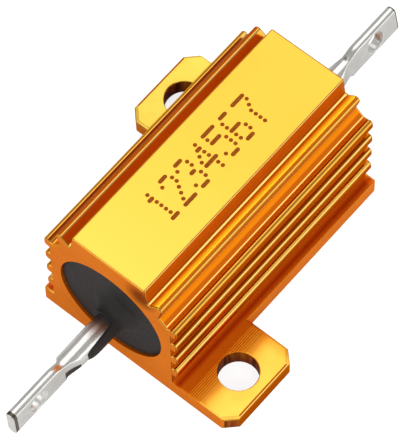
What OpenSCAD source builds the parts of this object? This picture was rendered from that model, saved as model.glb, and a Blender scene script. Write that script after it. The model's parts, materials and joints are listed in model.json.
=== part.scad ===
// Wirewound resistor in an anodised aluminium housing, 25 W size, for chassis mounting.
// A wire-wound ceramic core with steel end caps and two tinned copper terminals is potted
// in the bore of a ribbed extrusion that is fixed by two lugs on opposite corners.
// +X runs along the housing and +Z up. The origin lies on the mounting face, midway
// between the two fixing holes. The front end is at -X.

/* [Housing] */
// Length of the extruded housing, along X
housing_len = 27.5; // [26:0.1:34]
// Width over the two fixing lugs, along Y
housing_w = 27.7; // [26.6:0.1:32]
// Height of the top land above the mounting face
housing_h = 16; // [15:0.1:18]
// Width of the body across the floors of its side grooves
body_w = 14; // [13.2:0.1:15]
// Width of the flat top land
land_w = 8.3; // [7.4:0.1:8.6]
// Outward lean of the land's side walls, from the top to the groove floor
land_lean = 0.25; // [0:0.05:0.4]
// Depth of the groove beside the top land
land_groove_depth = 2; // [1.4:0.1:2.2]
// Width of that groove's floor
land_groove_w = 0.5; // [0.3:0.05:0.6]

/* [Ribs] */
// Thickness of a side rib
rib_t = 1.2; // [0.9:0.05:1.5]
// Distance between side ribs, centre to centre
rib_pitch = 2.5; // [2.2:0.05:3]
// How far a side rib stands out from the groove floor
rib_out = 0.6; // [0.52:0.02:1]
// Rounding radius of a side rib's tip
rib_tip_r = 0.45; // [0.2:0.05:0.45]
// Drop from the top land to the middle of the highest side rib
rib_top_drop = 4.4; // [4.2:0.05:4.7]
// Rounding radius of the shoulder rib's tip
shoulder_rib_r = 0.42; // [0.3:0.02:0.5]
// Shoulder rib's tip centre, outward from the groove floor's edge
shoulder_rib_out = 0.72; // [0.5:0.02:0.9]
// Shoulder rib's tip centre, above the groove floor
shoulder_rib_rise = 0.25; // [0.1:0.05:0.5]
// Drop from the top land to the valley under the shoulder rib
valley_drop = 3.23; // [3:0.05:3.5]
// How far that valley lies inward of the side groove floors
valley_in = 1.35; // [1.1:0.05:1.6]

/* [Lugs] */
// Thickness of the base flange and its lugs
flange_t = 2; // [1.5:0.1:2.4]
// Width of the base where the flange is milled away beside the lugs
base_w = 16.2; // [15.6:0.1:16.8]
// Length of a lug along X, from the housing's end
lug_len = 9.2; // [7.6:0.1:11]
// Chamfer on a lug's two outer corners
lug_corner = 1.1; // [0.4:0.1:1.6]
// Rounding radius along the lug's long outer edge
lug_edge_r = 0.25; // [0.1:0.05:0.5]
// Diameter of a fixing hole
hole_d = 3.8; // [3.2:0.1:4]
// Distance from the lug's long outer edge to the hole's centre
hole_inset = 3.05; // [2.6:0.05:3.2]

/* [Bore and moulding] */
// Diameter of the bore through the housing
bore_d = 11.6; // [10.6:0.1:12.2]
// Height of the bore's axis above the mounting face
bore_z = 7.6; // [7.2:0.1:8.2]
// Depth of the moulding's face inside the housing's end
face_recess = 0.35; // [0.1:0.05:1]
// Length of the moulded collar round a lead
collar_len = 1.35; // [0.8:0.05:2.5]
// Diameter of the collar at the moulding's face
collar_root_d = 4.2; // [3.6:0.1:5]
// Diameter of the collar at its free end
collar_tip_d = 2.8; // [2.6:0.1:3.2]

/* [Element] */
// Shift of the potted element along X from the housing's middle
element_dx = -0.9; // [-1.2:0.1:1.2]
// Shift of the element along Y from the bore's axis
element_dy = -0.35; // [-0.6:0.05:0.6]
// Shift of the element along Z from the bore's axis
element_dz = -0.5; // [-0.6:0.05:0.6]
// Diameter of the ceramic core
core_d = 6; // [5:0.1:6.6]
// Depth of the core's ends inside the housing's ends
core_inset = 3.75; // [3.2:0.05:5]
// Wall thickness of an end cap
cap_t = 0.5; // [0.45:0.05:0.7]
// How far an end cap reaches over the core
cap_grip = 3; // [2:0.1:4]
// Diameter of the resistance wire
wire_d = 0.4; // [0.3:0.05:0.4]
// Distance between turns of the winding
wire_pitch = 1.1; // [0.9:0.05:1.6]

/* [Terminals] */
// Diameter of the round lead
lead_d = 2.2; // [1.8:0.05:2.4]
// Length of round lead that stands out of the housing
lead_out = 6.25; // [4:0.05:9]
// Length of the flattened blade
blade_len = 6.7; // [5.4:0.1:9]
// Width of the blade
blade_w = 3; // [2.8:0.05:3.6]
// Thickness of the blade
blade_t = 1; // [0.6:0.05:1.4]
// Rounding radius along the blade's edges
blade_edge_r = 0.25; // [0.1:0.05:0.28]
// Rounding radius of the blade's two tip corners
blade_tip_r = 0.15; // [0.1:0.05:1]
// Length over which the round lead is pressed down and out to the blade
press_len = 0.7; // [0.4:0.05:1.5]
// Diameter of the eye in the blade
eye_d = 2.1; // [1.2:0.05:2.2]
// Distance from the blade's tip to the eye's centre
eye_inset = 3.2; // [1.6:0.05:3.6]
// Turn of the front blade about the lead, in degrees
front_twist = -3; // [-12:1:12]
// Turn of the rear blade about the lead, in degrees
rear_twist = -10; // [-12:1:12]

/* [Hidden] */
$fn = 64;

anodised_gold = [0.93, 0.62, 0.12];
moulding_black = [0.13, 0.12, 0.12];
ceramic_white = [0.92, 0.9, 0.85];
nichrome = [0.55, 0.53, 0.5];
cap_steel = [0.7, 0.7, 0.72];
tinned = [0.8, 0.79, 0.76];

// Front and rear, as signs of X
FRONT = -1;
REAR = 1;
// Overlap that makes a cut pass clean through
CUT = 1;
// Clearance of the winding from the core and from the moulding
WIND_GAP = 0.01;
// Straight lengths in one turn of the winding, and sides of the wire
WIND_STEPS = 16;
WIRE_SIDES = 6;
// Angles at which the shoulder rib's flanks run off its round tip
TIP_UP_ANGLE = 135;
TIP_DOWN_ANGLE = -20;

end_x = housing_len / 2;
groove_z = housing_h - land_groove_depth;
groove_edge = [land_w / 2 + land_lean + land_groove_w, groove_z];
shoulder_tip = groove_edge + [shoulder_rib_out, shoulder_rib_rise];
valley = [body_w / 2 - valley_in, housing_h - valley_drop];
rib_top_z = housing_h - rib_top_drop;
rib_count = floor((rib_top_z - flange_t - rib_t) / rib_pitch) + 1;
hole_x = end_x - lug_len / 2;
hole_y = housing_w / 2 - hole_inset;

face_x = end_x - face_recess;
core_len = housing_len - 2 * core_inset;
cap_r = core_d / 2 + cap_t;
cap_end_x = core_len / 2 + cap_t;
wind_len = core_len - 2 * cap_grip;
wire_r = wire_d / 2;
wind_r = core_d / 2 / cos(180 / WIND_STEPS) + wire_r + WIND_GAP;
wind_outer_r = wind_r + wire_r + WIND_GAP;

neck_x = end_x + lead_out;
press_x = neck_x - press_len;
tip_x = neck_x + blade_len;

function on_circle(centre, r, angle) = centre + r * [cos(angle), sin(angle)];

// Rod along X between two positions, about the local axis
module x_rod(from_x, to_x, r) {
    translate([from_x, 0, 0]) rotate([0, 90, 0]) cylinder(h = to_x - from_x, r = r);
}

// A drawing in the Y-Z plane, drawn out along X about the middle
module along_x(length) {
    rotate([90, 0, 90]) translate([0, 0, -length / 2]) linear_extrude(length) children();
}

// A rectangle from the first axis outward, with both far corners rounded
module round_ended(length, width, r) {
    translate([0, -width / 2]) square([length - r, width]);
    translate([0, r - width / 2]) square([length, width - 2 * r]);
    for (side = [-1, 1]) translate([length - r, side * (width / 2 - r)]) circle(r);
}

// Places its children in the frame of the potted element
module at_element() {
    translate([element_dx, element_dy, bore_z + element_dz]) children();
}

// ---- Housing ----

// Right half of the body's section, without its ribs
module body_half() {
    polygon([[0, 0], [body_w / 2, 0], [body_w / 2, rib_top_z], valley, groove_edge,
             groove_edge - [land_groove_w, 0], [land_w / 2, housing_h], [0, housing_h]]);
}

// The slanting rib on the right shoulder
module shoulder_rib_half() {
    translate(shoulder_tip) circle(shoulder_rib_r);
    polygon([groove_edge, on_circle(shoulder_tip, shoulder_rib_r, TIP_UP_ANGLE), shoulder_tip,
             on_circle(shoulder_tip, shoulder_rib_r, TIP_DOWN_ANGLE), valley]);
}

module side_ribs_half() {
    for (i = [0 : rib_count - 1])
        translate([0, rib_top_z - i * rib_pitch])
            round_ended(body_w / 2 + rib_out, rib_t, rib_tip_r);
}

module housing_section() {
    for (side = [0, 1]) mirror([side, 0]) {
        body_half();
        shoulder_rib_half();
        side_ribs_half();
    }
    translate([-base_w / 2, 0]) square([base_w, flange_t]);
}

// Flange section from the middle to the lug's rounded outer edge
module lug_section() {
    translate([0, flange_t / 2]) round_ended(housing_w / 2, flange_t, lug_edge_r);
}

module lug_outline() {
    y = housing_w / 2;
    polygon([[0, 0], [lug_len, 0], [lug_len, y - lug_corner], [lug_len - lug_corner, y],
             [lug_corner, y], [0, y - lug_corner]]);
}

// Lug at the rear left corner, with its fixing hole
module lug() {
    difference() {
        intersection() {
            along_x(housing_len) lug_section();
            translate([end_x - lug_len, 0, 0]) linear_extrude(flange_t) lug_outline();
        }
        translate([hole_x, hole_y, -CUT]) cylinder(h = flange_t + 2 * CUT, d = hole_d);
    }
}

module housing() {
    color(anodised_gold) difference() {
        union() {
            along_x(housing_len) housing_section();
            for (turn = [0, 180]) rotate(turn) lug();
        }
        translate([0, 0, bore_z]) x_rod(-end_x - CUT, end_x + CUT, bore_d / 2);
    }
}

// ---- Potted element ----

// Everything that the moulding is cast round, in the element's frame
module element_space() {
    x_rod(-wind_len / 2 - CUT / 2, wind_len / 2 + CUT / 2, wind_outer_r);
    for (side = [FRONT, REAR]) {
        inner = side * wind_len / 2;
        outer = side * cap_end_x;
        x_rod(min(inner, outer), max(inner, outer), cap_r);
    }
    x_rod(-tip_x, tip_x, lead_d / 2);
}

module collar(side) {
    start = side * face_x - element_dx;
    translate([start, 0, 0]) rotate([0, side * 90, 0])
        cylinder(h = collar_len, d1 = collar_root_d, d2 = collar_tip_d);
}

module moulding() {
    color(moulding_black) difference() {
        union() {
            translate([0, 0, bore_z]) x_rod(-face_x, face_x, bore_d / 2);
            for (side = [FRONT, REAR]) at_element() collar(side);
        }
        at_element() element_space();
    }
}

module ceramic_core() {
    color(ceramic_white) at_element() x_rod(-core_len / 2, core_len / 2, core_d / 2);
}

// One ring of points round the wire where the winding has turned through an angle
function wire_ring(x, angle) = [
    for (k = [0 : WIRE_SIDES - 1])
        let (out = wind_r + wire_r * sin(k * 360 / WIRE_SIDES))
            [x + wire_r * cos(k * 360 / WIRE_SIDES), out * cos(angle), out * sin(angle)]
];

module resistance_wire() {
    travel = wind_len - wire_d - 2 * WIND_GAP;
    steps = floor(travel / wire_pitch * WIND_STEPS);
    points = [
        for (i = [0 : steps])
            each wire_ring(-travel / 2 + travel * i / steps, 360 * i / WIND_STEPS)
    ];
    sides = [
        for (i = [0 : steps - 1], k = [0 : WIRE_SIDES - 1])
            let (a = i * WIRE_SIDES + k, b = i * WIRE_SIDES + (k + 1) % WIRE_SIDES)
                each [[a, b, a + WIRE_SIDES], [b, b + WIRE_SIDES, a + WIRE_SIDES]]
    ];
    start = [for (k = [WIRE_SIDES - 1 : -1 : 0]) k];
    finish = [for (k = [0 : WIRE_SIDES - 1]) steps * WIRE_SIDES + k];
    color(nichrome) at_element() polyhedron(points, concat(sides, [start, finish]));
}

module end_cap(side) {
    inner = side * wind_len / 2;
    outer = side * cap_end_x;
    color(cap_steel) at_element() difference() {
        x_rod(min(inner, outer), max(inner, outer), cap_r);
        x_rod(-core_len / 2, core_len / 2, core_d / 2);
    }
}

// ---- Terminals ----

// Blade outline in the X-Z plane, from the round lead to the tip
module blade_outline() {
    polygon([[-press_len, -lead_d / 2], [0, -blade_w / 2], [0, blade_w / 2],
             [-press_len, lead_d / 2]]);
    round_ended(blade_len, blade_w, blade_tip_r);
}

// Blade section in the Y-Z plane, with rounded edges
module blade_section() {
    for (half = [0, 1]) mirror([0, half])
        rotate(90) round_ended(blade_w / 2, blade_t, blade_edge_r);
}

module blade() {
    difference() {
        intersection() {
            translate([neck_x, 0, 0]) rotate([90, 0, 0])
                linear_extrude(blade_t, center = true) blade_outline();
            along_x(2 * tip_x) blade_section();
        }
        translate([tip_x - eye_inset, 0, 0]) rotate([90, 0, 0])
            cylinder(h = blade_t + 2 * CUT, d = eye_d, center = true);
    }
}

// Where the round lead is pressed down to the blade's thickness
module pressed_neck() {
    intersection() {
        x_rod(press_x, neck_x, lead_d / 2);
        linear_extrude(lead_d, center = true)
            polygon([[press_x, -lead_d / 2], [neck_x, -blade_t / 2],
                     [neck_x, blade_t / 2], [press_x, lead_d / 2]]);
    }
}

module terminal(side, twist) {
    color(tinned) at_element() rotate([twist, 0, 0]) mirror([side == FRONT ? 1 : 0, 0, 0]) {
        x_rod(cap_end_x, press_x, lead_d / 2);
        pressed_neck();
        blade();
    }
}

module end_cap_front() { end_cap(FRONT); }
module end_cap_rear() { end_cap(REAR); }
module terminal_front() { terminal(FRONT, front_twist); }
module terminal_rear() { terminal(REAR, rear_twist); }

housing();
moulding();
ceramic_core();
resistance_wire();
end_cap_front();
end_cap_rear();
terminal_front();
terminal_rear();
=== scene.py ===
"""Looks for an aluminium housed resistor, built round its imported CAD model.

Lengths are in millimetres, and become metres where a mesh, a lamp or a shader is made. The frame
is the CAD model's own: +X along the housing towards the rear terminal, +Z up out of the mounting
face.
"""

import json
import math

import bmesh
import bpy
from mathutils import Matrix, Vector


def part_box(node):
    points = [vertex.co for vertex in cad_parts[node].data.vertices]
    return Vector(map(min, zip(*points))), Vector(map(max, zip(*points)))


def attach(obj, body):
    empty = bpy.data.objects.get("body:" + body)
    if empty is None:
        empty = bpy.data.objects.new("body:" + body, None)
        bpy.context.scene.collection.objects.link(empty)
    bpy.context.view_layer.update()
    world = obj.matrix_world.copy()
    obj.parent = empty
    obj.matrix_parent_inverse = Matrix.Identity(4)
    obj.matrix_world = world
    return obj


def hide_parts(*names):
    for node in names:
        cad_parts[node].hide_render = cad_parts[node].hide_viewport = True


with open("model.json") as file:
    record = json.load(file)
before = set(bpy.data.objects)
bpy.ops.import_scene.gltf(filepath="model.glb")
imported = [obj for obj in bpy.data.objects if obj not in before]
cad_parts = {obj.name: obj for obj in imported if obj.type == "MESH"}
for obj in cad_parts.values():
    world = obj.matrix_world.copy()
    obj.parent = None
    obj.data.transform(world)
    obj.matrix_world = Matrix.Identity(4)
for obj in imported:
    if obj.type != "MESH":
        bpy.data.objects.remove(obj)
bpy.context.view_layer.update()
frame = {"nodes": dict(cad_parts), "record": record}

MM = 0.001


def box_mm(node):
    """Lowest and highest corner of a CAD node, in millimetres."""
    return [Vector(corner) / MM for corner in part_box(node)]


def mount(name):
    return next(m for m in frame["record"]["mounts"] if m["name"] == name)


# ---- Sizes that come from the frame ----

HOUSING_HIGH = box_mm("housing")[1]
END_X = HOUSING_HIGH.x
TOP_Z = HOUSING_HIGH.z
LUG_Y = HOUSING_HIGH.y
HOLE_R = mount("fixing_holes")["dims"]["hole_r_mm"]
HOLE_CIRCLE_R = mount("fixing_holes")["dims"]["pcd_mm"] / 2
EYE_R = mount("front_eye")["dims"]["r_mm"]
MOULDING_LOW, MOULDING_HIGH = box_mm("moulding")
BORE_R = (MOULDING_HIGH.y - MOULDING_LOW.y) / 2
BORE_Z = MOULDING_LOW.z + BORE_R
CORE_LOW, CORE_HIGH = box_mm("ceramic_core")
ELEMENT = (CORE_LOW + CORE_HIGH) / 2
CAP_LOW = box_mm("end_cap_front")[0]
CAP_HIGH = box_mm("end_cap_rear")[1]
CAP_GRIP_X = box_mm("end_cap_rear")[0].x - ELEMENT.x
CAP_R = ELEMENT.z - CAP_LOW.z
CAP_END_X = CAP_HIGH.x - ELEMENT.x
WINDING_GAP = 0.02
CHANNEL_R = box_mm("resistance_wire")[1].z - ELEMENT.z + WINDING_GAP
TIP_X = box_mm("terminal_rear")[1].x - ELEMENT.x

# ---- Section of the extrusion ----
# The land stands on leaning walls. Outside it come a groove, a round shoulder rib, a valley, a
# slope, a ledge with fine lines, the side ribs and the flange.

LAND_W = 8.3
LAND_LEAN = 0.25
GROOVE_DEPTH = 2.0
GROOVE_W = 0.25
GROOVE_DIP = 0.028
SHOULDER_RIB_R = 0.42
SHOULDER_RIB_OUT = 0.97
SHOULDER_RIB_RISE = 0.25
SHOULDER_RIB_START = 125
SHOULDER_RIB_STOP = -20
VALLEY_IN = 1.35
VALLEY_DROP = 3.23
BODY_Y = 7.0
RIB_T = 1.2
RIB_PITCH = 2.5
RIB_OUT = 0.6
RIB_TIP_R = 0.45
RIB_TOP_DROP = 4.4
RIB_COUNT = 4
LEDGE_Z = TOP_Z - RIB_TOP_DROP + RIB_T / 2
LEDGE_DIP = 0.1
LEDGE_LINES = (0.35, 0.7)
LINE_W = 0.04
FOOT_W = 0.09
FOOT_DROP = 0.09
FOOT_LEAN = math.sqrt(0.5)
BASE_Y = 8.1
FLANGE_T = 2.0

# ---- Lugs and edges ----

LUG_LEN = 9.2
LUG_CORNER = 1.1
LUG_EDGE_R = 0.35
SCORE_Y = 9.45
SCORE_HALF = 0.6
SCORE_PITCH = 0.2
SCORE_DEPTH = 0.012
END_BEVEL = 0.18
LINE_BEVEL = 0.05
RIM_BEVEL = 0.1
BEVEL_SEGMENTS = 3
SHARP_ANGLE = math.radians(25)
FLAT_ANGLE = math.radians(0.3)
WELD_GAP = 0.002
BORE_STEPS = 96
HOLE_STEPS = 64
# Painted dark reflection on the near end face: its centre (y, z) and its radii.
DARK_REFLECTION_SPOT = (-3.75, 14.5)
DARK_REFLECTION_CORE_R = 0.6
DARK_REFLECTION_EDGE_R = 1.9

# ---- Moulding ----

FACE_RECESS = 0.28
FACE_EDGE_X = 0.05
FACE_EDGE_R = 0.06
COLLAR_ROOT_R = 2.45
COLLAR_TIP_R = 1.4
COLLAR_CURVE = 2.2
COLLAR_LEN = MOULDING_HIGH.x - END_X + FACE_RECESS
SMEAR_ANGLE = math.radians(211)
SMEAR_FULL = math.radians(58)
SMEAR_EDGE = math.radians(84)
SMEAR_LEN = 3.7
SMEAR_FULLNESS = 7
RING_STEPS = 96

# ---- Terminals ----

LEAD_R = 1.1
BLADE_W = 3.0
BLADE_T = 1.0
BLADE_LEN = 6.7
NECK_X = TIP_X - BLADE_LEN
PRESS_LEN = 1.8
PRESS_FRONT_CURVE = 1.7
PRESS_BACK_CURVE = 1.25
BLADE_CROWN = 0.95
CROWN_START = 0.5
CROWN_LEN = 0.9
FLARE_START = 0.3
FLARE_UP_LEN = 1.6
FLARE_DOWN_LEN = 0.35
TIP_ROUND = 0.12
EYE_RIM_R = 0.14
EYE_STEPS = 48
SECTION_STEPS = 128
CORNER_POWER = 20

# ---- Marking ----

DOT_R = 0.2
DOT_PITCH = Vector((0.33, 0.53))
GLYPH_PITCH = 2.05
MARK_START = Vector((-6.9, 1.8))
MARK_PROUD = 0.01
DIGITS = {
    "1": ("..#..", ".##..", "..#..", "..#..", "..#..", "..#..", ".###."),
    "2": (".###.", "#...#", "....#", "...#.", "..#..", ".#...", "#####"),
    "3": (".###.", "#...#", "....#", "..##.", "....#", "#...#", ".###."),
    "4": ("...#.", "..##.", ".#.#.", "#..#.", "#####", "...#.", "...#."),
    "5": ("#####", "#....", "####.", "....#", "....#", "#...#", ".###."),
    "6": (".###.", "#....", "#....", "####.", "#...#", "#...#", ".###."),
    "7": ("#####", "....#", "...#.", "..#..", "..#..", "..#..", "..#.."),
}

# ---- Camera and studio ----

AIM = Vector((0.843, 2.014, 1.058))
CAMERA_AZIMUTH = math.radians(-48.61)
CAMERA_ELEVATION = math.radians(61.92)
CAMERA_ROLL = math.radians(-1.75)
CAMERA_DISTANCE = 390.8
LENS = 353.16
LAMP_DISTANCE = 400
HIGH_BEHIND = (0.353, 0.311, 0.882)
FLOOR_SIZE = 3000
FLOOR_PAINT = 0.4
FLOOR_GLOW = 0.81
MIRROR_GLOW = 0.1
WORLD_LEVEL = 0.3
WORLD_MIRROR = 0.37


# ---- Mesh helpers ----

def arc(centre, radius, start, stop, steps):
    """Points round a centre from one angle to another, in degrees."""
    angles = [math.radians(start + (stop - start) * i / steps) for i in range(steps + 1)]
    return [(centre[0] + radius * math.cos(a), centre[1] + radius * math.sin(a)) for a in angles]


def circle(centre, radius, steps):
    return arc(centre, radius, 0, 360 - 360 / steps, steps - 1)


def blend_step(t):
    """Rises smoothly from 0 to 1 as t does."""
    t = min(max(t, 0.0), 1.0)
    return t * t * (3 - 2 * t)


def new_object(name, data):
    made = bpy.data.objects.new(name, data)
    bpy.context.scene.collection.objects.link(made)
    return made


def mesh_object(name, points, faces):
    """An object from points in millimetres and lists of point numbers."""
    mesh = bpy.data.meshes.new(name)
    mesh.from_pydata([Vector(p) * MM for p in points], [], faces)
    solid = bmesh.new()
    solid.from_mesh(mesh)
    bmesh.ops.recalc_face_normals(solid, faces=solid.faces)
    solid.to_mesh(mesh)
    solid.free()
    return new_object(name, mesh)


def prism(name, outline, place, start, stop):
    """A closed outline drawn out between two heights. place turns (u, v, height) into a point."""
    count = len(outline)
    points = [place(u, v, h) for h in (start, stop) for u, v in outline]
    faces = [list(range(count))[::-1], list(range(count, 2 * count))]
    for i in range(count):
        j = (i + 1) % count
        faces.append([i, j, j + count, i + count])
    return mesh_object(name, points, faces)


def along_x(y, z, x):
    return x, y, z


def along_z(x, y, z):
    return x, y, z


def rings_object(name, rings, closed=False):
    """A skin over rings of equally many points. It is closed in a loop or capped at both ends."""
    count = len(rings[0])
    points = [p for ring in rings for p in ring]
    spans = len(rings) if closed else len(rings) - 1
    faces = []
    for i in range(spans):
        here = i * count
        there = (i + 1) % len(rings) * count
        for k in range(count):
            n = (k + 1) % count
            faces.append([here + k, here + n, there + n, there + k])
    if not closed:
        faces.append(list(range(count))[::-1])
        faces.append(list(range(len(points) - count, len(points))))
    return mesh_object(name, points, faces)


def bake_modifiers(target):
    """Replaces an object's mesh by the one that its modifiers give."""
    graph = bpy.context.evaluated_depsgraph_get()
    graph.update()
    mesh = bpy.data.meshes.new_from_object(target.evaluated_get(graph))
    target.modifiers.clear()
    old = target.data
    target.data = mesh
    bpy.data.meshes.remove(old)
    mesh.name = target.name


def boolean(target, tool, operation):
    """Adds a tool to a target or cuts it out, then deletes the tool."""
    step = target.modifiers.new(operation, "BOOLEAN")
    step.operation = operation
    step.object = tool
    step.solver = "EXACT"
    bake_modifiers(target)
    bpy.data.objects.remove(tool)


def merge_flats(target):
    """Welds doubled points and joins faces that lie in one plane."""
    solid = bmesh.new()
    solid.from_mesh(target.data)
    bmesh.ops.remove_doubles(solid, verts=solid.verts, dist=WELD_GAP * MM)
    bmesh.ops.dissolve_limit(solid, angle_limit=FLAT_ANGLE, verts=solid.verts, edges=solid.edges)
    solid.to_mesh(target.data)
    solid.free()


def bevel_edges(target, width_of, widest):
    """Breaks each edge by the width in millimetres that width_of(edge) gives."""
    solid = bmesh.new()
    solid.from_mesh(target.data)
    layer = solid.edges.layers.float.new("bevel_weight_edge")
    for edge in solid.edges:
        if len(edge.link_faces) == 2 and edge.calc_face_angle(0) > SHARP_ANGLE:
            edge[layer] = width_of(edge) / widest
    solid.to_mesh(target.data)
    solid.free()
    step = target.modifiers.new("rounding", "BEVEL")
    step.limit_method = "WEIGHT"
    step.width = widest * MM
    step.segments = BEVEL_SEGMENTS
    step.use_clamp_overlap = False
    step.miter_outer = "MITER_SHARP"
    bake_modifiers(target)


def smooth(target, angle=40):
    """Smooth shading that keeps flats flat and edges sharp past an angle in degrees."""
    for face in target.data.polygons:
        face.use_smooth = True
    target.data.set_sharp_from_angle(angle=math.radians(angle))
    step = target.modifiers.new("normals", "WEIGHTED_NORMAL")
    step.keep_sharp = True
    step.weight = 100
    bake_modifiers(target)


def finish_piece(piece, nodes):
    """Puts a piece on the part's one body, in place of its CAD nodes."""
    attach(piece, "root")
    if nodes:
        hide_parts(*nodes)


# ---- Shader helpers ----

def rgb(red, green, blue):
    return (red, green, blue, 1.0)


def add(tree, kind, inputs=None, **settings):
    """A new node with its settings. Each input is set to a value or linked from a socket."""
    made = tree.nodes.new(kind)
    for name, value in settings.items():
        setattr(made, name, value)
    for name, value in (inputs or {}).items():
        if isinstance(value, bpy.types.NodeSocket):
            tree.links.new(value, made.inputs[name])
        else:
            made.inputs[name].default_value = value
    return made


def maths(tree, operation, *values):
    """Result of a math node. Each value is a number or a socket."""
    return add(tree, "ShaderNodeMath", dict(enumerate(values)), operation=operation).outputs[0]


def coordinates(tree):
    """X, Y and Z of the shaded point, in metres."""
    place = add(tree, "ShaderNodeTexCoord").outputs["Object"]
    parts = add(tree, "ShaderNodeSeparateXYZ", {"Vector": place}).outputs
    return [parts[axis] for axis in "XYZ"]


def distance_from(tree, point):
    """Distance in metres from a point given in millimetres."""
    place = add(tree, "ShaderNodeTexCoord").outputs["Object"]
    return add(tree, "ShaderNodeVectorMath", {0: place, 1: Vector(point) * MM},
               operation="DISTANCE").outputs["Value"]


def object_noise(tree, sizes, detail=3.0):
    """Noise over the object, with its features' size along each axis in millimetres."""
    place = add(tree, "ShaderNodeTexCoord").outputs["Object"]
    stretch = add(tree, "ShaderNodeMapping",
                  {"Vector": place, "Scale": [1 / (MM * size) for size in sizes]})
    return add(tree, "ShaderNodeTexNoise",
               {"Vector": stretch.outputs[0], "Scale": 1.0, "Detail": detail,
                "Roughness": 0.55}).outputs[0]


def spread(tree, value, low, high, start=0.3, stop=0.7):
    """Maps start to stop onto low to high. As given, start and stop are the range of a noise."""
    return add(tree, "ShaderNodeMapRange",
               {"Value": value, "From Min": start, "From Max": stop,
                "To Min": low, "To Max": high}).outputs[0]


def ramp(tree, length, low, high, start, stop):
    """Maps a length from start to stop in millimetres onto low to high."""
    return spread(tree, length, low, high, start * MM, stop * MM)


def mix(tree, factor, first, second):
    """Mixes two colours or colour sockets."""
    made = add(tree, "ShaderNodeMix", data_type="RGBA")
    for index, value in ((0, factor), (6, first), (7, second)):
        if isinstance(value, bpy.types.NodeSocket):
            tree.links.new(value, made.inputs[index])
        else:
            made.inputs[index].default_value = value
    return made.outputs[2]


def bump(tree, height, depth, under=None):
    """Normal of a relief of a given depth in millimetres, on top of another one if there is one."""
    inputs = {"Height": height, "Distance": depth * MM}
    if under:
        inputs["Normal"] = under
    return add(tree, "ShaderNodeBump", inputs).outputs[0]


def new_material(name, **uniform):
    """A Principled material, with its uniform values set on the shader's own sockets."""
    material = bpy.data.materials.new(name)
    material.use_nodes = True
    shader = material.node_tree.nodes["Principled BSDF"]
    for socket, value in uniform.items():
        shader.inputs[socket.replace("_", " ")].default_value = value
    return material, material.node_tree, shader


def set_surface(tree, shader, tone, roughness, normal=None):
    """Links what varies over a surface to its shader."""
    tree.links.new(tone, shader.inputs["Base Color"])
    tree.links.new(roughness, shader.inputs["Roughness"])
    if normal:
        tree.links.new(normal, shader.inputs["Normal"])


# ---- Materials ----

def extruded_gold(name, light, dark, metallic=1.0):
    """Gold anodising over the die lines of the extrusion, which run along X."""
    material, tree, shader = new_material(name, Metallic=metallic, Specular_IOR_Level=0.1,
                                          Specular_Tint=rgb(1.0, 0.5, 0.08))
    cloud = object_noise(tree, (9, 5, 5))
    lines = object_noise(tree, (30, 0.25, 0.25), detail=4)
    tone = mix(tree, spread(tree, cloud, 0, 1), light, dark)
    set_surface(tree, shader, tone, spread(tree, lines, 0.09, 0.14), bump(tree, lines, 0.001))
    return material


def source_of(material, socket):
    """Tree and shader of a material, and what one of the shader's sockets is linked to."""
    tree = material.node_tree
    shader = tree.nodes["Principled BSDF"]
    return tree, shader, shader.inputs[socket].links[0].from_socket


def scored_lines(tree, out, low):
    """The fine lines scored along the foot of each lug, as waves from -1 to 1 across their band."""
    band = maths(tree, "COMPARE", out, SCORE_Y * MM, SCORE_HALF * MM)
    turn = maths(tree, "MULTIPLY", out, 2 * math.pi / (SCORE_PITCH * MM))
    here = maths(tree, "MULTIPLY", band, low)
    return maths(tree, "MULTIPLY", maths(tree, "SINE", turn), here)


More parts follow.
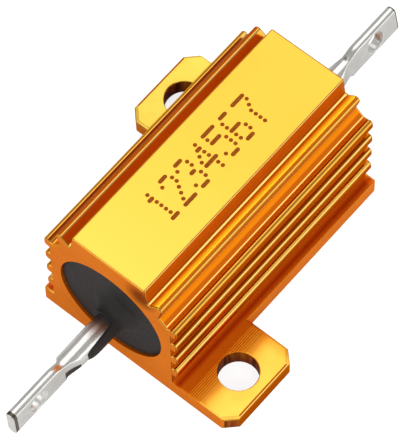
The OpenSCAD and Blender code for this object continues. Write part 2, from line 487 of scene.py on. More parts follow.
def flat_gold():
    """The land, and the tops of the lugs and the flange, with the scored lines.

    Their yellow is a painted highlight. Painted light makes the land paler towards its near end,
    and the rear lug paler all over. Painted shade turns the front lug orange at its far end, and
    makes the flange and the feet of the lugs brown, with a redder band along the middle of the
    flange; a lighter painted shade reaches further out over the lugs, where they mirror the body.
    The front lug also turns orange in patches, and the scored lines are painted orange on the
    brown and dark brown beyond it.
    """
    material = extruded_gold("anodised_flat_painted_light", rgb(0.96, 0.52, 0.062), rgb(0.95, 0.49, 0.055),
                             metallic=0.45)
    tree, shader, tone = source_of(material, "Base Color")
    x, y, z = coordinates(tree)
    out = maths(tree, "ABSOLUTE", y)
    low = maths(tree, "LESS_THAN", z, 2 * FLANGE_T * MM)
    scored = scored_lines(tree, out, low)

    lug_x = LUG_LEN - END_X
    # Painted highlight: the land is paler towards its near end.
    land_near_highlight = ramp(tree, x, 0.9, 0, -END_X, 0.2 * END_X)
    # Painted shade: the front lug turns orange towards its far end.
    lug_far_shade = maths(tree, "MULTIPLY", ramp(tree, x, 0, 0.75, lug_x - 1.3, lug_x), low)
    # Painted light: the rear lug is paler all over, to lift it out of the body's shadow.
    rear_lug_painted_light = ramp(tree, y, 0, 1, 0.8 * BASE_Y, BASE_Y)
    cloud = spread(tree, object_noise(tree, (2.2, 2.2, 2.2)), 0, 0.3, 0.45, 0.75)
    patches = maths(tree, "MULTIPLY", cloud, low)
    # Painted shade, lighter than at the feet: orange over the lugs beyond the scored lines, where they
    # mirror the body.
    warm_shade = maths(tree, "MULTIPLY", ramp(tree, out, 0.8, 0, SCORE_Y + 0.6, SCORE_Y + 2.1), low)
    # Painted shade: brown at the feet of the lugs and on the flange, where they mirror the body.
    foot = maths(tree, "MULTIPLY", ramp(tree, out, 1, 0, SCORE_Y, SCORE_Y + 0.7), low)
    # Painted shade: redder along the middle of the flange.
    off_middle = maths(tree, "SUBTRACT", out, (BODY_Y + BASE_Y) / 2 * MM)
    red_band_shade = ramp(tree, maths(tree, "ABSOLUTE", off_middle), 1, 0, 0.05, 0.45)
    brown = mix(tree, red_band_shade, rgb(0.56, 0.105, 0.003), rgb(0.38, 0.032, 0.001))
    for where, colour in ((land_near_highlight, rgb(0.97, 0.60, 0.088)), (lug_far_shade, rgb(0.97, 0.28, 0.012)),
                          (rear_lug_painted_light, rgb(0.98, 0.68, 0.10)), (patches, rgb(0.92, 0.36, 0.022)),
                          (warm_shade, rgb(0.94, 0.30, 0.010)), (foot, brown)):
        tone = mix(tree, where, tone, colour)

    line_tone = mix(tree, foot, rgb(0.42, 0.09, 0.004), rgb(0.92, 0.36, 0.02))
    tone = mix(tree, spread(tree, scored, 0, 0.8, 0.1, 1.0), tone, line_tone)
    die_lines = shader.inputs["Normal"].links[0].from_socket
    tree.links.new(tone, shader.inputs["Base Color"])
    tree.links.new(spread(tree, foot, 0.45, 0.3, 0, 1), shader.inputs["Metallic"])
    tree.links.new(bump(tree, scored, SCORE_DEPTH, under=die_lines), shader.inputs["Normal"])
    return material


def flank_gold():
    """Plain flanks. Painted shade darkens the slope below each shoulder at its top, under the shoulder
    rib's tip, and at its foot.
    """
    material = extruded_gold("anodised_flank", rgb(0.72, 0.198, 0.004), rgb(0.68, 0.180, 0.003))
    tree, shader, plain = source_of(material, "Base Color")
    height = coordinates(tree)[2]
    slope_z = TOP_Z - VALLEY_DROP
    rib_z = TOP_Z - RIB_TOP_DROP
    # Painted shade on the lower part of the slope and on the fine lines of the ledge.
    tone = mix(tree, ramp(tree, height, 1, 0, slope_z - 0.44, slope_z - 0.32), plain,
               rgb(0.46, 0.092, 0.004))
    # Painted shade at the top of the slope, under the shoulder rib's tip.
    tone = mix(tree, ramp(tree, height, 0, 1, slope_z - 0.2, slope_z), tone,
               rgb(0.56, 0.13, 0.003))
    tone = mix(tree, ramp(tree, height, 1, 0, rib_z, rib_z + 0.1), tone, plain)
    tree.links.new(tone, shader.inputs["Base Color"])
    return material


def lip_gold():
    """Inner flank of the near shoulder rib, with painted shade at its foot and a painted highlight at
    its top.

    The ledge below the slope has the painted shade of the foot.
    """
    material = extruded_gold("anodised_lip_painted_light", rgb(1.0, 0.37, 0.008), rgb(0.98, 0.34, 0.006),
                             metallic=0.0)
    tree, shader, tone = source_of(material, "Base Color")
    height = coordinates(tree)[2]
    foot_z = TOP_Z - GROOVE_DEPTH
    # Painted shade at the foot of the flank.
    tone = mix(tree, ramp(tree, height, 1, 0, foot_z, foot_z + 0.45), tone,
               rgb(0.64, 0.10, 0.001))
    # Painted highlight at the top of the flank.
    tone = mix(tree, ramp(tree, height, 0, 1, foot_z + 0.25, foot_z + 0.6), tone,
               rgb(1.0, 0.60, 0.022))
    tree.links.new(tone, shader.inputs["Base Color"])
    return material


def cut_gold():
    """Gold anodising over sawn and milled faces, which are duller, and deeper in colour than the
    painted highlights on the drawn faces.
    """
    material, tree, shader = new_material("anodised_cut", Metallic=0.5, Specular_IOR_Level=0.1,
                                          Specular_Tint=rgb(1.0, 0.4, 0.05))
    cloud = object_noise(tree, (2.5, 2.5, 2.5))
    grain = object_noise(tree, (0.12, 0.12, 0.12), detail=2)
    tone = mix(tree, spread(tree, cloud, 0, 1), rgb(0.84, 0.23, 0.012), rgb(0.76, 0.20, 0.009))
    # Painted dark reflection on the near end face, near the corner of the land.
    from_dark_reflection = distance_from(tree, (-END_X, *DARK_REFLECTION_SPOT))
    dark_reflection = ramp(tree, from_dark_reflection, 0.92, 0, DARK_REFLECTION_CORE_R, DARK_REFLECTION_EDGE_R)
    tone = mix(tree, dark_reflection, tone, rgb(0.24, 0.040, 0.003))
    set_surface(tree, shader, tone, spread(tree, grain, 0.38, 0.5), bump(tree, grain, 0.006))
    return material


def bored_gold():
    """Drilled walls and the lugs' clipped corners, painted dark as shade, with streaks that run along
    the drill.
    """
    material, tree, shader = new_material("anodised_bored_shade", Metallic=0.6, Specular_IOR_Level=0.1,
                                          Specular_Tint=rgb(0.6, 0.2, 0.02))
    streaks = object_noise(tree, (0.45, 0.45, 6), detail=2)
    tone = mix(tree, spread(tree, streaks, 0, 1), rgb(0.42, 0.11, 0.006), rgb(0.06, 0.008, 0.001))
    set_surface(tree, shader, tone, spread(tree, streaks, 0.2, 0.35), bump(tree, streaks, 0.01))
    return material


def black_compound():
    """Dull black moulding compound with a fine grain."""
    material, tree, shader = new_material("black_moulding", Metallic=0.0, Specular_IOR_Level=0.3)
    cloud = object_noise(tree, (1.5, 1.5, 1.5))
    grain = object_noise(tree, (0.09, 0.09, 0.09))
    tone = mix(tree, spread(tree, cloud, 0, 1), rgb(0.019, 0.016, 0.015), rgb(0.013, 0.011, 0.011))
    set_surface(tree, shader, tone, spread(tree, grain, 0.5, 0.68), bump(tree, grain, 0.012))
    return material


def tin_stains_and_painted_shade(tree, tone, cloud):
    """Tone of the tin with its marks, its painted shade and a painted reflection.

    The press has left a brown spot on each neck; the rear one is painted darker, as shade. A band near
    the end of each tip is a painted dark reflection, the underside of the front neck is painted shade,
    and the leads are dark grey next to the collars.
    """
    x, _, z = coordinates(tree)
    along = maths(tree, "SUBTRACT", x, ELEMENT.x * MM)
    reach = maths(tree, "ABSOLUTE", along)
    # A brown spot on each neck, left by the press; the rear one's darker brown is painted shade.
    for spot_x, spot_y, colour in ((-NECK_X - 0.4, 0, rgb(0.60, 0.48, 0.19)),
                                   (NECK_X - 0.1, 0.15, rgb(0.16, 0.09, 0.05))):
        away = distance_from(tree, ELEMENT + Vector((spot_x, spot_y, LEAD_R)))
        ragged = maths(tree, "MULTIPLY_ADD", cloud, -0.5 * MM, away)
        tone = mix(tree, ramp(tree, ragged, 1, 0, -0.2, 0.1), tone, colour)
    # Painted dark reflection: a dark band near the end of each tip.
    for side, half in ((-1, 0.18), (1, 0.06)):
        tip_dark_reflection_x = side * (TIP_X - 0.07 - half)
        tip_dark_reflection = maths(tree, "COMPARE", along, tip_dark_reflection_x * MM, half * MM)
        tone = mix(tree, tip_dark_reflection, tone, rgb(0.13, 0.12, 0.09))
    # Painted shade: the underside of the front neck is dark.
    neck = maths(tree, "COMPARE", along, -(NECK_X - 0.8) * MM, 0.8 * MM)
    under = ramp(tree, z, 1, 0, ELEMENT.z - 0.05, ELEMENT.z + 0.15)
    neck_underside_shade = maths(tree, "MULTIPLY", neck, under)
    tone = mix(tree, neck_underside_shade, tone, rgb(0.035, 0.026, 0.019))
    # The leads turn dark grey next to the collars.
    collar_x = MOULDING_HIGH.x
    collar_dark = ramp(tree, reach, 0.9, 0, collar_x, collar_x + 1.8)
    return mix(tree, collar_dark, tone, rgb(0.08, 0.10, 0.12))


def tinned_copper():
    """Bright tin plate with drawing lines along the lead. The walls of the eyes are a little duller."""
    material, tree, shader = new_material("tinned_copper", Metallic=0.92, Specular_IOR_Level=0.5)
    cloud = object_noise(tree, (1.2, 0.8, 0.8))
    lines = object_noise(tree, (4, 0.12, 0.12), detail=4)
    tone = mix(tree, spread(tree, cloud, 0, 1), rgb(0.92, 0.91, 0.87), rgb(0.80, 0.79, 0.75))
    tone = tin_stains_and_painted_shade(tree, tone, cloud)
    rough = spread(tree, lines, 0.14, 0.26)
    rim_r = math.hypot(EYE_R + EYE_RIM_R, BLADE_T / 2)
    for eye in ("front_eye", "rear_eye"):
        away = distance_from(tree, Vector(mount(eye)["pos_m"]) / MM)
        punched = ramp(tree, away, 1, 0, rim_r - 0.02, rim_r + 0.02)
        rough = maths(tree, "MULTIPLY_ADD", punched, 0.12, rough)
        tone = mix(tree, punched, tone, rgb(0.95, 0.95, 0.92))
    set_surface(tree, shader, tone, rough, bump(tree, lines, 0.006))
    return material


def burnt_mark():
    """Brown of a mark burnt into the anodising."""
    material, tree, shader = new_material("burnt_mark", Metallic=0.0, Specular_IOR_Level=0.1)
    cloud = object_noise(tree, (0.3, 0.3, 0.3))
    tone = mix(tree, spread(tree, cloud, 0, 1), rgb(0.26, 0.072, 0.006), rgb(0.19, 0.048, 0.004))
    set_surface(tree, shader, tone, spread(tree, cloud, 0.5, 0.7))
    return material


def plain_finish(name, light, dark, grain, **uniform):
    """A finish for the sealed pieces inside."""
    material, tree, shader = new_material(name, **uniform)
    cloud = object_noise(tree, (grain, grain, grain))
    tone = mix(tree, spread(tree, cloud, 0, 1), light, dark)
    set_surface(tree, shader, tone, spread(tree, cloud, 0.35, 0.5))
    return material


# ---- Housing ----

# Most housing finishes are lit and shaded copies of one gold: painted highlights and painted shade.
FLANK, FLAT_PAINTED_LIGHT, TIP_HIGHLIGHT, RECESS_SHADE, LIP_PAINTED_LIGHT, GLINT, CUT, BORED_SHADE, RIB_SHADE = range(9)
LOWEST_RIB_TOP = LEDGE_Z - (RIB_COUNT - 1) * RIB_PITCH
# Tolerances in millimetres: in the same place, on a surface, and near it.
SAME = 0.01
TOUCH = 0.02
NEAR = 0.1


def half_section():
    """Right half of the body's section, from the land's corner down to the base's."""
    groove_z = TOP_Z - GROOVE_DEPTH
    groove_edge = (LAND_W / 2 + LAND_LEAN + GROOVE_W, groove_z - GROOVE_DIP)
    tip = (groove_edge[0] + SHOULDER_RIB_OUT, groove_z + SHOULDER_RIB_RISE)
    valley = (BODY_Y - VALLEY_IN, TOP_Z - VALLEY_DROP)
    rib_z = TOP_Z - RIB_TOP_DROP
    round_y = BODY_Y + RIB_OUT - RIB_TIP_R
    round_z = RIB_T / 2 - RIB_TIP_R
    slope = (BODY_Y - valley[0]) / (rib_z - valley[1])
    slope_end = (valley[0] + slope * (LEDGE_Z - LEDGE_DIP - valley[1]), LEDGE_Z - LEDGE_DIP)
    ledge_y = slope_end[0] + FOOT_W
    outline = [(LAND_W / 2, TOP_Z), (LAND_W / 2 + LAND_LEAN, groove_z), groove_edge]
    outline += arc(tip, SHOULDER_RIB_R, SHOULDER_RIB_START, SHOULDER_RIB_STOP, 10)
    outline += [valley, slope_end, (ledge_y, slope_end[1] - FOOT_DROP)]
    for share in LEDGE_LINES:
        y = ledge_y + (round_y - ledge_y) * share
        z = LEDGE_Z - LEDGE_DIP * (1 - share) - FOOT_DROP
        outline += [(y - LINE_W, z), (y, z + LINE_W), (y + LINE_W, z)]
    for i in range(RIB_COUNT):
        z = rib_z - i * RIB_PITCH
        if i > 0:
            outline.append((BODY_Y, z + RIB_T / 2))
        outline += arc((round_y, z + round_z), RIB_TIP_R, 90, 0, 6)
        outline += arc((round_y, z - round_z), RIB_TIP_R, 0, -90, 6)
        outline.append((BODY_Y, z - RIB_T / 2))
    outline += [(BODY_Y, FLANGE_T), (BASE_Y, FLANGE_T), (BASE_Y, 0)]
    return outline


def lug_plan(side):
    """Outline of one lug seen from above, which reaches well inside the body."""
    inner_x = END_X - LUG_LEN
    corners = [(inner_x, 1), (END_X, 1), (END_X, LUG_Y - LUG_CORNER), (END_X - LUG_CORNER, LUG_Y),
               (inner_x + LUG_CORNER, LUG_Y), (inner_x, LUG_Y - LUG_CORNER)]
    return [(side * x, side * y) for x, y in corners]


def hole_place(side):
    """Centre of a fixing hole, on the bolt circle and in the middle of its lug."""
    x = END_X - LUG_LEN / 2
    return side * x, side * math.sqrt(HOLE_CIRCLE_R ** 2 - x ** 2)


def edge_width(edge):
    """Width of the rounding of one edge of the housing, in millimetres."""
    a, b = [v.co / MM for v in edge.verts]
    out = abs(a.y)
    on_bore = math.hypot(a.y, a.z - BORE_Z) < BORE_R + TOUCH
    on_end = abs(abs(a.x) - END_X) < SAME and abs(a.x - b.x) < SAME
    upright = abs(a.z - b.z) > 1
    on_lug = (a - b).length > 1 and max(out, abs(b.y)) > BASE_Y + SAME
    across = abs(out - abs(b.y)) > 0.001 or abs(a.z - b.z) > 0.001
    on_land = min(a.z, b.z) > TOP_Z - SAME
    on_ledge = abs(a.z - LEDGE_Z) < 0.3 and BODY_Y - 0.7 < out < BODY_Y + 0.2
    for holds, width in ((on_bore, LINE_BEVEL), (on_end, END_BEVEL), (upright, 0),
                         (on_lug, LUG_EDGE_R), (across, RIM_BEVEL), (on_land, END_BEVEL),
                         (on_ledge, 0)):
        if holds:
            return width
    return LINE_BEVEL


def in_drill(centre):
    return any(math.hypot(centre.x - x, centre.y - y) < HOLE_R + TOUCH
               for x, y in (hole_place(-1), hole_place(1)))


def shoulder_finish(centre, normal, inward):
    """Finish of a face of a groove or of its shoulder rib. The near and far sides get different painted
    light.
    """
    near = centre.y < 0
    if centre.z < TOP_Z - GROOVE_DEPTH + 0.06 and normal.z > 0.9:
        return GLINT
    if inward > 0.15 and normal.z > 0.3:
        if near:
            return LIP_PAINTED_LIGHT
        return TIP_HIGHLIGHT if 0.6 < normal.z < 0.8 else GLINT
    return TIP_HIGHLIGHT if near and 0.4 < normal.z < 0.9 else RECESS_SHADE


def slope_finish(centre, normal, inward):
    """Finish of a face of a slope or of the ledge below it. The near and far sides get different
    painted light.
    """
    near = centre.y < 0
    if abs(abs(normal.y) - FOOT_LEAN) < 0.02 and abs(centre.y) < BODY_Y - 0.45:
        return GLINT
    if normal.z > 0.9:
        return LIP_PAINTED_LIGHT if near else TIP_HIGHLIGHT
    if near:
        return RECESS_SHADE if inward > 0.3 else FLANK
    return GLINT if inward > 0.5 else RECESS_SHADE


def rib_finish(centre, normal):
    """Finish of a face of a side rib or of the channel below it."""
    out = abs(centre.y)
    on_tip = out > BODY_Y + NEAR
    if on_tip and 0.5 < normal.z < 0.88:
        return GLINT
    if on_tip and 0.88 < normal.z < 0.97 and centre.z < LOWEST_RIB_TOP:
        return FLAT_PAINTED_LIGHT
    return RECESS_SHADE if out < BODY_Y + 0.17 or normal.z < -0.3 else RIB_SHADE


def face_finish(face):
    """Number of the finish for one face of the housing, from its place and the way it faces. The finish
    paints its highlight or shade.
    """
    centre = face.center / MM
    normal = face.normal
    out = abs(centre.y)
    inward = -normal.y * math.copysign(1.0, centre.y)
    on_bore = math.hypot(centre.y, centre.z - BORE_Z) < BORE_R + LINE_BEVEL
    clipped = min(abs(normal.x), abs(normal.y)) > 0.6
    on_top = centre.z > TOP_Z - NEAR or (out > BASE_Y and centre.z > FLANGE_T - NEAR)
    above_ribs = centre.z > TOP_Z - RIB_TOP_DROP
    if on_bore and abs(normal.x) < 0.9:
        return RECESS_SHADE
    if abs(normal.z) < 0.3 and (clipped or in_drill(centre)):
        return BORED_SHADE
    if abs(normal.x) > 0.9:
        return CUT
    if abs(normal.x) > 0.1:
        return FLAT_PAINTED_LIGHT if out > BASE_Y and normal.z > 0.5 else TIP_HIGHLIGHT
    if on_top and normal.z > 0.99:
        return FLAT_PAINTED_LIGHT
    if centre.z > TOP_Z - 0.2 and normal.z > 0.5:
        return GLINT if normal.z < 0.85 else TIP_HIGHLIGHT
    if centre.z > TOP_Z - VALLEY_DROP + 0.5 and out > LAND_W / 2 + TOUCH:
        return shoulder_finish(centre, normal, inward)
    if above_ribs and out < BODY_Y + NEAR and normal.z > 0.6:
        return slope_finish(centre, normal, inward)
    if above_ribs and normal.z > 0.5:
        return TIP_HIGHLIGHT
    if out > LUG_Y - LUG_EDGE_R and 0.4 < normal.z < 0.98:
        return GLINT if normal.z < 0.85 else RECESS_SHADE
    if FLANGE_T + NEAR < centre.z < LEDGE_Z:
        return rib_finish(centre, normal)
    if normal.z > 0.5 and out > BODY_Y and abs(centre.z - FLANGE_T) < NEAR:
        return RECESS_SHADE
    # Painted reflection: the near side of the flange takes the lighter gold of the sawn faces, for the
    # floor it mirrors.
    if normal.y < -0.9 and centre.z < FLANGE_T and out < BASE_Y + NEAR:
        return CUT
    return FLANK


def housing_finishes():
    """The housing's materials, by the numbers that face_finish gives; most paint a highlight or shade.
    """
    return {
        FLANK: flank_gold(),
        FLAT_PAINTED_LIGHT: flat_gold(),
        # Painted highlight: yellow gold for tips, bevels and ledges that face the light.
        TIP_HIGHLIGHT: extruded_gold("anodised_tip_highlight", rgb(0.97, 0.48, 0.070), rgb(0.95, 0.44, 0.060)),
        # Painted shade: dark brown gold for walls, channels and other places in shade.
        RECESS_SHADE: extruded_gold("anodised_recess_shade", rgb(0.51, 0.108, 0.003), rgb(0.45, 0.092, 0.002),
                              metallic=0.4),
        LIP_PAINTED_LIGHT: lip_gold(),
        # Painted highlight: pale gold for thin bright lines.
        GLINT: extruded_gold("anodised_glint", rgb(0.98, 0.60, 0.16), rgb(0.96, 0.56, 0.13)),
        CUT: cut_gold(),
        BORED_SHADE: bored_gold(),
        # Painted shade: darker gold for the faces of the side ribs.
        RIB_SHADE: extruded_gold("anodised_rib_shade", rgb(0.68, 0.145, 0.004), rgb(0.64, 0.13, 0.003)),
    }


def make_housing():
    half = half_section()
    section = half + [(-y, z) for y, z in reversed(half)]
    body = prism("housing_shell", section, along_x, -END_X, END_X)
    for side in (-1, 1):
        boolean(body, prism("lug", lug_plan(side), along_z, 0, FLANGE_T), "UNION")
    bore = prism("bore", circle((0, BORE_Z), BORE_R, BORE_STEPS), along_x, -END_X - 1, END_X + 1)
    boolean(body, bore, "DIFFERENCE")
    for side in (-1, 1):
        drill = prism("drill", circle(hole_place(side), HOLE_R, HOLE_STEPS), along_z,
                      -1, FLANGE_T + 1)
        boolean(body, drill, "DIFFERENCE")
    merge_flats(body)
    bevel_edges(body, edge_width, LUG_EDGE_R)
    smooth(body)
    finishes = housing_finishes()
    for number in sorted(finishes):
        body.data.materials.append(finishes[number])
    for face in body.data.polygons:
        face.material_index = face_finish(face)
    finish_piece(body, ["housing"])


# ---- Moulding ----

def ring(x, centre, radius):
    """A circle of points round X. The centre is (y, z), and x and radius may follow the angle."""
    x_of = x if callable(x) else lambda angle: x
    radius_of = radius if callable(radius) else lambda angle: radius
    points = []
    for k in range(RING_STEPS):
        angle = 2 * math.pi * k / RING_STEPS
        points.append((x_of(angle), centre[0] + radius_of(angle) * math.cos(angle),
                       centre[1] + radius_of(angle) * math.sin(angle)))
    return points


def smear(angle):
    """How much of the smear of compound lies at an angle round the front lead, from 0 to 1."""
    turn = math.cos(angle - SMEAR_ANGLE)
    edge = math.cos(SMEAR_EDGE)
    return blend_step((turn - edge) / (math.cos(SMEAR_FULL) - edge))


def moulding_end(side):
    """Rings of one end of the moulding, from the bore's wall in to the lead."""
    lead = (ELEMENT.y, ELEMENT.z)
    bore = (0, BORE_Z)
    face_x = END_X - FACE_RECESS
    face_r = BORE_R - FACE_EDGE_R
    rings = [ring(side * (face_x - FACE_EDGE_X), bore, BORE_R), ring(side * face_x, bore, face_r)]
    for i in range(1, 10):
        t = i / 10
        centre = [b + (l - b) * t for b, l in zip(bore, lead)]
        rings.append(ring(side * face_x, centre, face_r + (COLLAR_ROOT_R - face_r) * t))
    for i in range(9):
        t = i / 8
        swell = (1 - t) ** COLLAR_CURVE
        radius = COLLAR_TIP_R + (COLLAR_ROOT_R - COLLAR_TIP_R) * swell
        rings.append(ring(side * (face_x + COLLAR_LEN * t), lead, radius))
    reach = SMEAR_LEN if side < 0 else 0.0
    for i in range(1, 11):
        t = i / 10
        rings.append(ring(lambda angle: side * (face_x + COLLAR_LEN + reach * smear(angle) * t), lead,
                          lambda angle: LEAD_R + (COLLAR_TIP_R - LEAD_R)
                          * (1 - t ** (1 + SMEAR_FULLNESS * smear(angle)))))
    return rings


def moulding_channel():
    """Rings of the space inside the moulding, from the front lead to the rear one."""
    lead = (ELEMENT.y, ELEMENT.z)
    half = [(CAP_END_X, LEAD_R), (CAP_END_X, CAP_R), (CAP_GRIP_X, CAP_R), (CAP_GRIP_X, CHANNEL_R)]
    front = [ring(ELEMENT.x - x, lead, r) for x, r in half]
    rear = [ring(ELEMENT.x + x, lead, r) for x, r in reversed(half)]
    return front + rear


def make_moulding():
    rings = moulding_end(-1) + moulding_channel() + list(reversed(moulding_end(1)))
    moulding = rings_object("moulding_compound", rings, closed=True)
    smooth(moulding)
    moulding.data.materials.append(black_compound())
    finish_piece(moulding, ["moulding"])


# ---- Terminals ----

def lead_sizes(x, back_len):
    """Half thickness in front and behind, half breadth and reach up and down of a section.

    The press has left a blade with crowned edges. It flares fast below and slowly above.
    """
    after = x - NECK_X
    if after <= -PRESS_LEN:
        return 3 * LEAD_R, 3 * LEAD_R, LEAD_R, LEAD_R, LEAD_R
    short = max(-after, 0.0)
    pressed = BLADE_T / 2
    flare = BLADE_W / 2 - LEAD_R
    front = pressed + (LEAD_R - pressed) * (short / PRESS_LEN) ** PRESS_FRONT_CURVE
    back = pressed + (LEAD_R - pressed) * min(short / back_len, 1.0) ** PRESS_BACK_CURVE
    crown = LEAD_R + (BLADE_CROWN - LEAD_R) * blend_step((after + CROWN_START) / CROWN_LEN)
    up = LEAD_R + flare * blend_step((after + FLARE_START) / FLARE_UP_LEN)
    down = LEAD_R + flare * blend_step((after + FLARE_START) / FLARE_DOWN_LEN)
    return front, back, crown, up, down


def section_point(angle, sizes, inset):
    """Point of a terminal's section: an oval bar cut by two flats, with soft corners."""
    front, back, crown, up, down = [v - inset for v in sizes]
    thin = back if math.sin(angle) > 0 else front
    across = max(abs(math.sin(angle)), 1e-6)
    upright = math.cos(angle)
    height = up if upright > 0 else down
    oval = math.hypot(across / crown, upright / height)
    reach = (oval ** CORNER_POWER + (across / thin) ** CORNER_POWER) ** (-1 / CORNER_POWER)
    return reach * math.sin(angle), reach * upright


def terminal_stations():
    """Distances along a terminal at which its section is drawn, each with its inset."""
    press_x = NECK_X - PRESS_LEN
    blade_end = TIP_X - TIP_ROUND
    stations = [(CAP_END_X + (press_x - CAP_END_X) * i / 10, 0.0) for i in range(10)]
    stations += [(press_x + PRESS_LEN * i / 30, 0.0) for i in range(31)]
    stations += [(NECK_X + (blade_end - NECK_X) * i / 40, 0.0) for i in range(1, 41)]
    for i in range(1, 5):
        turn = math.pi / 2 * i / 4
        stations.append((blade_end + TIP_ROUND * math.sin(turn),
                         TIP_ROUND * (1 - math.cos(turn))))
    return stations


def eye_cutter(place, axis):
    """A bobbin whose waist is the eye and whose flares round the eye's rims."""
    half = BLADE_T / 2
    profile = [(-2 * half, EYE_R + EYE_RIM_R)]
    for i in range(7):
        turn = math.pi / 2 * i / 6
        profile.append((-half + EYE_RIM_R * (1 - math.cos(turn)),
                        EYE_R + EYE_RIM_R * (1 - math.sin(turn))))
    profile += [(-h, r) for h, r in reversed(profile)]
    side = axis.orthogonal().normalized()
    up = axis.cross(side)
    turns = [2 * math.pi * k / EYE_STEPS for k in range(EYE_STEPS)]
    rings = [[place + axis * height + (side * math.cos(a) + up * math.sin(a)) * radius
              for a in turns] for height, radius in profile]
    return rings_object("eye", rings)


def make_terminal(name, node, eye_mount, material, side, back_len):
    eye = mount(eye_mount)
    axis = Vector(eye["axis"]).normalized()
    twist = math.atan2(axis.z, -axis.y)
    rings = []
    for x, inset in terminal_stations():
        sizes = lead_sizes(x, back_len)
        section = []
        for k in range(SECTION_STEPS):
            y, z = section_point(2 * math.pi * k / SECTION_STEPS, sizes, inset)
            section.append((ELEMENT.x + side * x,
                            ELEMENT.y + y * math.cos(twist) + z * math.sin(twist),
                            ELEMENT.z + z * math.cos(twist) - y * math.sin(twist)))
        rings.append(section)
    terminal = rings_object(name, rings)
    boolean(terminal, eye_cutter(Vector(eye["pos_m"]) / MM, axis), "DIFFERENCE")
    smooth(terminal, 35)
    terminal.data.materials.append(material)
    finish_piece(terminal, [node])


# ---- Marking ----

def dot_runs(row):
    """First and last column of each run of dots in a row."""
    runs = []
    for column, dot in enumerate(row):
        if dot == "#":
            if runs and runs[-1][1] == column - 1:
                runs[-1][1] = column
            else:
                runs.append([column, column])
    return runs


def add_bar(solid, first_x, last_x, y):
    """A round-ended bar that stands a little proud of the land."""
    outline = arc((last_x, y), DOT_R, -90, 90, 8) + arc((first_x, y), DOT_R, 90, 270, 8)
    top = [solid.verts.new(Vector((u, v, TOP_Z + MARK_PROUD)) * MM) for u, v in outline]
    low = [solid.verts.new(Vector((u, v, TOP_Z - MARK_PROUD)) * MM) for u, v in outline]
    solid.faces.new(top)
    solid.faces.new(list(reversed(low)))
    for i in range(len(top)):
        j = (i + 1) % len(top)
        solid.faces.new([low[i], low[j], top[j], top[i]])


def make_marking(material):
    """Plain counting digits in dots on the top land. Neighbouring dots of a row run together."""
    solid = bmesh.new()
    for number, rows in enumerate(DIGITS.values()):
        digit_x = MARK_START.x + number * GLYPH_PITCH
        for line, row in enumerate(rows):
            for first, last in dot_runs(row):
                add_bar(solid, digit_x + first * DOT_PITCH.x, digit_x + last * DOT_PITCH.x,
                        MARK_START.y - line * DOT_PITCH.y)
    bmesh.ops.remove_doubles(solid, verts=solid.verts, dist=0.0001 * MM)
    mesh = bpy.data.meshes.new("marking_digits")
    solid.to_mesh(mesh)
    solid.free()
    marking = new_object("marking_digits", mesh)
    mesh.materials.append(material)
    finish_piece(marking, [])


# ---- Sealed pieces ----

def finish_inner_nodes():
    ceramic = plain_finish("ceramic", rgb(0.85, 0.82, 0.74), rgb(0.78, 0.75, 0.67), 0.5)
    alloy = plain_finish("resistance_alloy", rgb(0.45, 0.43, 0.40), rgb(0.36, 0.34, 0.32), 0.3,
                         Metallic=1.0)
    steel = plain_finish("cap_steel", rgb(0.62, 0.62, 0.63), rgb(0.52, 0.52, 0.53), 0.8,
                         Metallic=1.0)
    finishes = {"ceramic_core": ceramic, "resistance_wire": alloy,
                "end_cap_front": steel, "end_cap_rear": steel}
    for name, material in finishes.items():
        mesh = frame["nodes"][name].data
        mesh.materials.clear()
        mesh.materials.append(material)


# ---- Studio ----

def ray_strength(tree, plain, camera, mirrored):
    """Strength for plain rays, plus what camera rays and mirrored rays add to it."""
    path = add(tree, "ShaderNodeLightPath").outputs
    mirror = maths(tree, "MAXIMUM", path["Is Glossy Ray"], path["Is Transmission Ray"])
    level = maths(tree, "MULTIPLY_ADD", mirror, mirrored, plain)
    return maths(tree, "MULTIPLY_ADD", path["Is Camera Ray"], camera, level)


def make_floor():
    """A white floor. The camera and reflections see it brighter than light makes it."""
    half = FLOOR_SIZE / 2
    corners = [(-half, -half, 0), (half, -half, 0), (half, half, 0), (-half, half, 0)]
    floor = mesh_object("floor", corners, [[0, 1, 2, 3]])
    material = bpy.data.materials.new("white_floor")
    material.use_nodes = True
    tree = material.node_tree
    tree.nodes.clear()
    level = ray_strength(tree, 0.0, FLOOR_GLOW, MIRROR_GLOW)
    glow = add(tree, "ShaderNodeEmission", {"Color": rgb(1, 1, 1), "Strength": level})
    paint = add(tree, "ShaderNodeBsdfDiffuse", {"Color": rgb(FLOOR_PAINT, FLOOR_PAINT, FLOOR_PAINT)})
    both = add(tree, "ShaderNodeAddShader", {0: glow.outputs[0], 1: paint.outputs[0]})
    add(tree, "ShaderNodeOutputMaterial", {"Surface": both.outputs[0]})
    floor.data.materials.append(material)


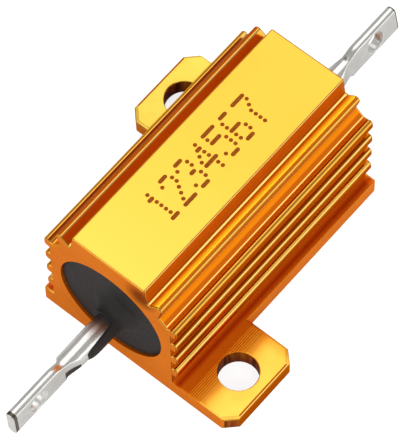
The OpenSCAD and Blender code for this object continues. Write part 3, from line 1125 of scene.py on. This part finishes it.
def make_world():
    """Even white light all round. The camera sees it as plain white."""
    world = bpy.data.worlds.new("studio")
    bpy.context.scene.world = world
    world.use_nodes = True
    tree = world.node_tree
    tree.nodes.clear()
    level = ray_strength(tree, WORLD_LEVEL, 1.0 - WORLD_LEVEL, WORLD_MIRROR - WORLD_LEVEL)
    light = add(tree, "ShaderNodeBackground", {"Color": rgb(1, 1, 1), "Strength": level})
    add(tree, "ShaderNodeOutputWorld", {"Surface": light.outputs[0]})


def softbox(name, direction, width, height, radiance, mirrored=True):
    """A rectangular lamp that faces the part, of a given brightness when seen straight on."""
    lamp = bpy.data.lights.new(name, "AREA")
    lamp.shape = "RECTANGLE"
    lamp.size = width * MM
    lamp.size_y = height * MM
    lamp.energy = radiance * math.pi * lamp.size * lamp.size_y
    made = new_object(name, lamp)
    towards = Vector(direction).normalized()
    made.location = (AIM + towards * LAMP_DISTANCE) * MM
    made.rotation_euler = towards.to_track_quat("Z", "Y").to_euler()
    made.visible_glossy = mirrored


def make_camera():
    look = Vector((-math.sin(CAMERA_AZIMUTH) * math.cos(CAMERA_ELEVATION),
                   math.cos(CAMERA_AZIMUTH) * math.cos(CAMERA_ELEVATION),
                   -math.sin(CAMERA_ELEVATION)))
    camera = bpy.data.cameras.new("camera")
    camera.lens = LENS
    camera.clip_start = 0.01
    made = new_object("camera", camera)
    turn = look.to_track_quat("-Z", "Y").to_matrix() @ Matrix.Rotation(CAMERA_ROLL, 3, "Z")
    made.matrix_world = Matrix.Translation((AIM - look * CAMERA_DISTANCE) * MM) @ turn.to_4x4()
    bpy.context.scene.camera = made


make_camera()
make_world()
make_floor()
softbox("key", HIGH_BEHIND, 280, 280, 1.07)
softbox("soft_top", HIGH_BEHIND, 200, 200, 4.4, mirrored=False)
softbox("soft_front", (-0.85, -0.3, 0.45), 300, 300, 5.0, mirrored=False)
softbox("soft_side", (0.2, -0.85, 0.5), 300, 300, 3.5, mirrored=False)
softbox("front_strip", (-0.8, 0.31, 0.5), 240, 260, 0.97)
softbox("side_strip", (0.353, -0.87, 0.33), 500, 190, 0.99)
bpy.context.scene.view_settings.view_transform = "Standard"

make_housing()
make_moulding()
tin = tinned_copper()
make_terminal("terminal_blade_front", "terminal_front", "front_eye", tin, side=-1, back_len=0.6)
make_terminal("terminal_blade_rear", "terminal_rear", "rear_eye", tin, side=1, back_len=1.8)
make_marking(burnt_mark())
finish_inner_nodes()
